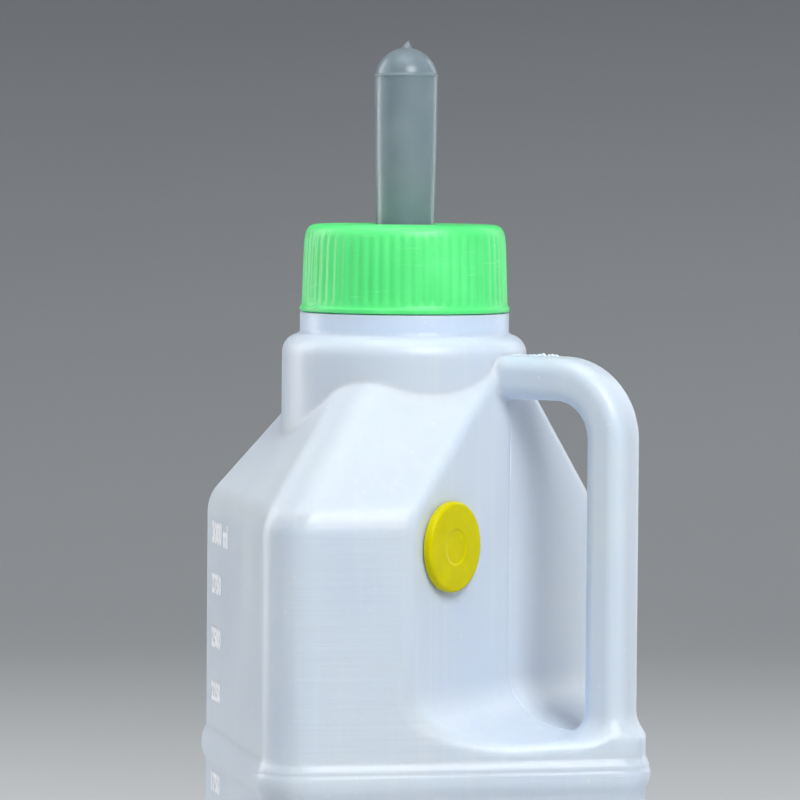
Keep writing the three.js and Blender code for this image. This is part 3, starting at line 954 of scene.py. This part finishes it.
def milky_plastic():
    s = Surface(
        "milky_plastic", IOR=1.52, Subsurface_Weight=0.85, Subsurface_Scale=0.006,
        Subsurface_Radius=(0.9, 1.0, 1.15),
    )
    _, y, z = s.split(s.place)
    cloud = s.noise(16, detail=2)
    streak = s.noise(1, (240, 240, 9), detail=4)
    tone = s.mix(s.span(cloud, 0.3, 0.7), (0.57, 0.67, 0.90), (0.63, 0.74, 0.96))
    tone = s.mix(s.math("MULTIPLY", s.span(streak, 0.5, 0.75), 0.25), tone, (0.72, 0.80, 0.92))
    specks = s.span(s.noise(420, detail=1), 0.74, 0.8)
    tone = s.mix(s.math("MULTIPLY", specks, 0.3), tone, (0.9, 0.93, 0.97))
    front = s.span(y, -0.0615, -0.0635)  # ripples only on the flat -Y face, below the shoulder
    panel = s.math("MULTIPLY", front, s.span(z, 0.206, 0.196))
    ripple = s.math("MULTIPLY", s.noise(1, (14, 14, 330), detail=3, distortion=0.3), panel)
    peel = s.noise(650, detail=2)
    normal = s.bump(ripple, 0.0004, 0.7)
    normal = s.bump(streak, 0.0002, 0.15, normal)
    normal = s.bump(peel, 0.00008, 0.35, normal)
    rough = s.math("ADD", s.span(cloud, 0.2, 0.8, 0.36, 0.44), s.span(streak, 0.3, 0.7, -0.03, 0.05))
    return s.finish(tone, rough, normal)


def flash_plastic():
    s = Surface("flash_plastic", IOR=1.45)
    tone = s.mix(s.noise(300, detail=3), (0.62, 0.70, 0.82), (0.74, 0.80, 0.90))
    return s.finish(tone, s.span(s.noise(500), 0.3, 0.7, 0.4, 0.55), s.bump(s.noise(900), 0.0002, 0.6))


def green_plastic():
    s = Surface(
        "green_plastic", IOR=1.49, Subsurface_Weight=0.25, Subsurface_Scale=0.0025,
        Subsurface_Radius=(0.4, 1.0, 0.5), Coat_Weight=0.04, Coat_Roughness=0.3,
    )
    cloud = s.noise(45, detail=3)
    tone = s.mix(s.span(cloud, 0.3, 0.7), (0.085, 0.74, 0.19), (0.115, 0.83, 0.235))
    scuff = s.span(s.noise(1, (90, 90, 700), detail=5), 0.62, 0.72)
    tone = s.mix(s.math("MULTIPLY", scuff, 0.22), tone, (0.45, 0.96, 0.55))
    normal = s.bump(s.noise(1100, detail=2), 0.00006, 0.5)
    rough = s.math("ADD", s.span(cloud, 0.2, 0.8, 0.4, 0.5), s.math("MULTIPLY", scuff, 0.12))
    return s.finish(tone, rough, normal)


def clear_rubber():
    s = Surface(
        "clear_rubber", IOR=1.43, Transmission_Weight=0.5, Subsurface_Weight=0.5, Subsurface_Scale=0.004,
        Subsurface_Radius=(0.8, 1.0, 1.0),
    )
    cloud = s.noise(70, detail=3)
    tone = s.mix(s.span(cloud, 0.3, 0.7), (0.30, 0.38, 0.43), (0.38, 0.46, 0.50))
    rough = s.span(cloud, 0.2, 0.8, 0.285, 0.35)  # lower values left patches on the denoised teat
    return s.finish(tone, rough, s.bump(s.noise(300, detail=1), 0.00002, 0.15))


def white_plastic():
    s = Surface("white_plastic", IOR=1.5, Subsurface_Weight=0.2, Subsurface_Scale=0.002)
    cloud = s.noise(160, detail=3)
    tone = s.mix(cloud, (0.80, 0.80, 0.77), (0.88, 0.88, 0.86))
    return s.finish(tone, s.span(cloud, 0.2, 0.8, 0.26, 0.36), s.bump(s.noise(1500), 0.00005, 0.5))


def yellow_plastic():
    s = Surface(
        "yellow_plastic", IOR=1.5, Subsurface_Weight=0.05, Subsurface_Scale=0.002, Specular_IOR_Level=0.08,
    )
    cloud = s.noise(120, detail=3)
    tone = s.mix(s.span(cloud, 0.3, 0.7), (0.54, 0.48, 0.0), (0.61, 0.545, 0.0))
    rough = s.span(s.noise(260, detail=4), 0.3, 0.7, 0.26, 0.38)
    return s.finish(tone, rough, s.bump(s.noise(1400, detail=2), 0.00005, 0.5))


def scale_ink():
    s = Surface("scale_ink", IOR=1.45)
    worn = s.noise(700, detail=4)
    tone = s.mix(s.span(worn, 0.35, 0.65), (0.84, 0.88, 0.93), (0.96, 0.97, 0.99))
    return s.finish(tone, s.span(worn, 0.2, 0.8, 0.45, 0.6), s.bump(worn, 0.00006, 0.6))


def backdrop_paint():
    s = Surface("backdrop_paint", Specular_IOR_Level=0.2)
    height = s.split(s.place)[2]
    upwards = s.span(height, 0.0, 0.7, kind="SMOOTHSTEP")
    tone = s.mix(upwards, (0.60, 0.61, 0.62), (0.27, 0.285, 0.30))
    grain = s.noise(300, detail=3)
    tone = s.mix(s.math("MULTIPLY", grain, 0.04), tone, (0.8, 0.8, 0.8))
    return s.finish(tone, s.span(grain, 0, 1, 0.7, 0.8))


# ---- Stage ---------------------------------------------------------------------------------------

AIM_M = (0, 0, 0.2)  # the bottle's middle


def studio_bowl():
    """A pale floor that curves up into a wall all the way round, so that no view meets an edge."""
    flat, bend, wall = 1500, 1400, 3600
    around = 96
    profile = [(1, 0), (300, 0), (900, 0), (flat, 0)]
    for a in np.linspace(0.1, math.pi / 2, 20):
        profile.append((flat + bend * math.sin(a), bend - bend * math.cos(a)))
    profile.append((flat + bend, wall))
    angle, radius, z = turned(profile, around)
    points = np.stack([radius * np.cos(angle), radius * np.sin(angle), z], -1).reshape(-1, 3)
    faces = ring_faces(len(profile), around)[:, ::-1].tolist() + [list(range(around))]
    return join_parts("studio_bowl", [(points, faces)])


def softbox(name, place_m, size_m, power, color=(1, 1, 1)):
    """A soft light that shines at the bottle's middle and isn't seen by the camera. Power is in watts."""
    light = bpy.data.lights.new(name, "AREA")
    light.shape = "RECTANGLE"
    light.size, light.size_y = size_m
    light.energy = power
    light.color = color
    obj = bpy.data.objects.new(name, light)
    bpy.context.scene.collection.objects.link(obj)
    obj.location = place_m
    obj.rotation_euler = (Vector(AIM_M) - Vector(place_m)).to_track_quat("-Z", "Y").to_euler()
    obj.visible_camera = False


def studio_air():
    """Weak light from all round, and colours as they are."""
    world = bpy.data.worlds.new("studio_air")
    world.use_nodes = True
    sky = world.node_tree.nodes["Background"].inputs
    sky["Color"].default_value = (0.9, 0.94, 1.0, 1)
    sky["Strength"].default_value = 0.25
    bpy.context.scene.world = world
    bpy.context.scene.view_settings.view_transform = "Standard"


def camera_at_photo_angle():
    """The photograph's view: from -Y, turned a little towards -X."""
    turn = math.radians(12.5)
    roll = math.radians(0.42)
    distance_m, height_m = 1.64, 0.322
    aim_z_m, aim_left_m = 0.23735, 0.0013
    sensor_width, focal_length = 36, 218
    axis = Vector((NECK.x * MM, NECK.y * MM, 0))
    left = Vector((-math.cos(turn), math.sin(turn), 0))
    data = bpy.data.cameras.new("photo_camera")
    data.sensor_width = sensor_width
    data.lens = focal_length
    data.clip_end = 20
    obj = bpy.data.objects.new("photo_camera", data)
    bpy.context.scene.collection.objects.link(obj)
    obj.location = axis + Vector((-math.sin(turn) * distance_m, -math.cos(turn) * distance_m, height_m))
    aim = axis + left * aim_left_m + Vector((0, 0, aim_z_m))
    look = (aim - obj.location).to_track_quat("-Z", "Y").to_matrix().to_4x4()
    obj.matrix_world = Matrix.Translation(obj.location) @ look @ Matrix.Rotation(roll, 4, "Z")
    bpy.context.scene.camera = obj


# ---- Assembly ------------------------------------------------------------------------------------


def dress(obj, material, slot, body, *nodes):
    """Give a piece its material and its body, and hide the CAD nodes that it replaces. The slot argument is
    not used.
    """
    obj.data.materials.clear()
    obj.data.materials.append(material)
    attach(obj, body)
    if nodes:
        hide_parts(*nodes)


def repaint(node, material):
    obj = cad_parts[node]
    for slot in obj.material_slots:
        slot.material = material


dress(bottle_shell(), milky_plastic(), "milky_plastic", "bottle", "bottle_body")
flash = flash_plastic()
dress(parting_flash(), flash, "milky_plastic", "bottle")
dress(handle_fins(), flash, "milky_plastic", "bottle")
dress(scale_numbers(), scale_ink(), "white_plastic", "bottle")
dress(screw_cap(), green_plastic(), "green_plastic", "cap", "screw_cap")
rubber = clear_rubber()
dress(teat(), rubber, "clear_rubber", "teat", "teat")
disc = join_parts("vent_disc", [vent_disc(), vent_pinhole()])
dress(disc, yellow_plastic(), "yellow_plastic", "bottle", "vent_body")
white = white_plastic()
for node in ("teat_valve_housing", "teat_valve_cage", "teat_valve_ball"):
    repaint(node, white)
for node in ("vent_grommet", "vent_flap"):
    repaint(node, rubber)

bowl = studio_bowl()
bowl.data.materials.append(backdrop_paint())

softbox("key", (0.28, -1.45, 1.4), (0.9, 0.8), 34, (0.95, 0.975, 1.0))
softbox("left_strip", (-0.95, 0.8, 0.5), (0.4, 1.4), 10)
softbox("right_strip", (1.1, 0.65, 0.5), (0.3, 1.3), 4)
softbox("left_edge", (-1.25, 0.0, 0.6), (0.05, 1.2), 1.0)
softbox("top", (-0.15, -0.2, 1.75), (1.0, 1.0), 10)
studio_air()
camera_at_photo_angle()
